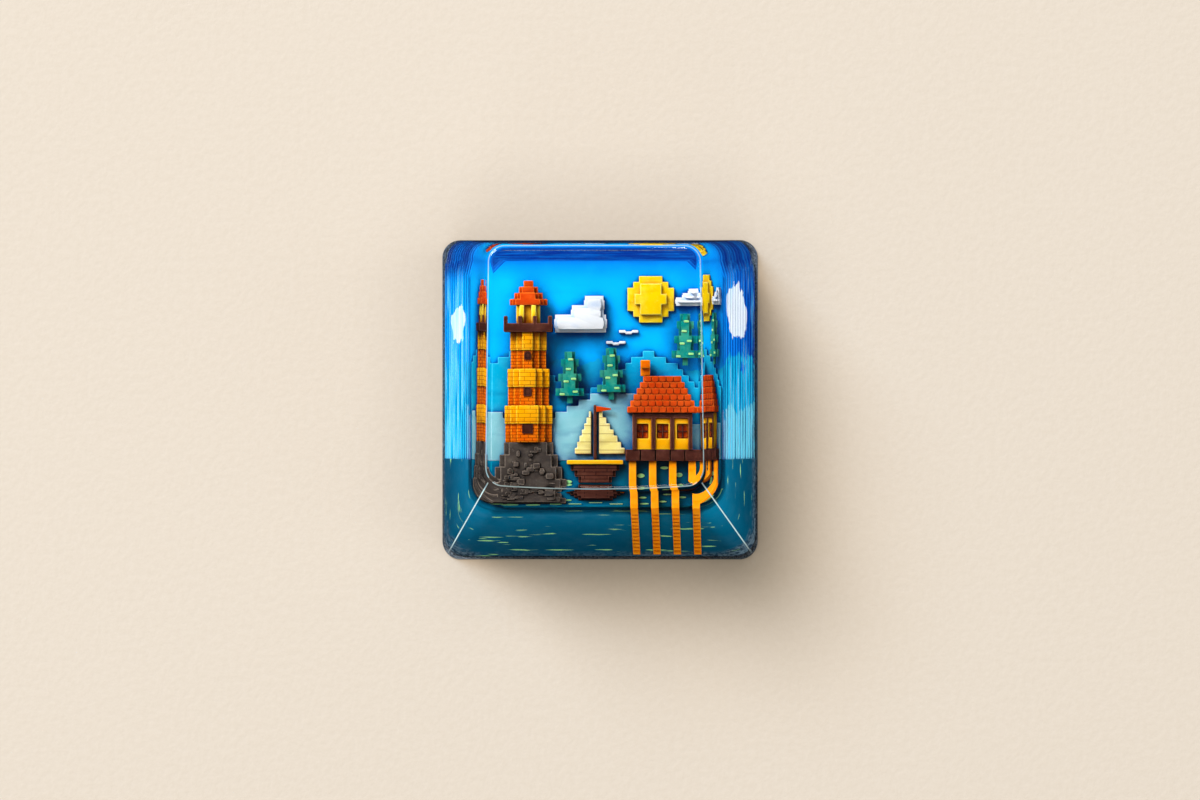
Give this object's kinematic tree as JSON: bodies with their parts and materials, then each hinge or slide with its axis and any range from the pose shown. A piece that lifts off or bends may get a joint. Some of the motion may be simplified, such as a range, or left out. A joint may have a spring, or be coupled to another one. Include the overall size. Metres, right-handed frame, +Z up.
{
  "type": "artisan keycap",
  "caption": "Clear resin keyboard keycap with a dished top, cast over an opaque stepped core that carries a painted relief scene and a cross socket for a key switch.",
  "frame": {"origin": "centre of the base, on the plane that the lower rim rests on; the switch's axis passes through it", "axes": "+Z up through the finger surface, +Y to the back of the keyboard, +X to the right"},
  "size_m": [0.0182, 0.0184, 0.0115],
  "materials": {
    "clear_resin": "clear, polished, cast",
    "core_resin": "painted on the outside, dark resin underneath",
    "far_hill_paint": "painted, satin",
    "near_hill_paint": "painted, satin",
    "water_paint": "painted, satin",
    "rock_paint": "painted, satin",
    "orange_paint": "painted, satin",
    "amber_paint": "painted, satin",
    "brown_paint": "painted, satin",
    "yellow_paint": "painted, satin",
    "red_paint": "painted, satin",
    "cream_paint": "painted, satin",
    "green_paint": "painted, satin",
    "white_paint": "painted, satin",
    "foam_paint": "painted, satin"
  },
  "bodies": {
    "root": {"clear_shell": "clear_resin", "core": "core_resin", "far_hills": "far_hill_paint", "near_hills": "near_hill_paint", "water": "water_paint", "rock": "rock_paint", "tower": "orange_paint", "tower_bands": "amber_paint", "gallery": "brown_paint", "lantern": "yellow_paint", "lantern_roof": "red_paint", "boat_hull": "brown_paint", "boat_gunwale": "amber_paint", "boat_mast": "brown_paint", "boat_sails": "cream_paint", "pier": "brown_paint", "pier_posts": "orange_paint", "cottage_walls": "amber_paint", "cottage_frame": "brown_paint", "cottage_roof": "red_paint", "chimney": "orange_paint", "pine_1": "green_paint", "pine_2": "green_paint", "pine_3": "green_paint", "sun": "yellow_paint", "cloud_1": "white_paint", "cloud_2": "white_paint", "gulls": "white_paint", "ripples": "foam_paint"}
  },
  "joints": []
}
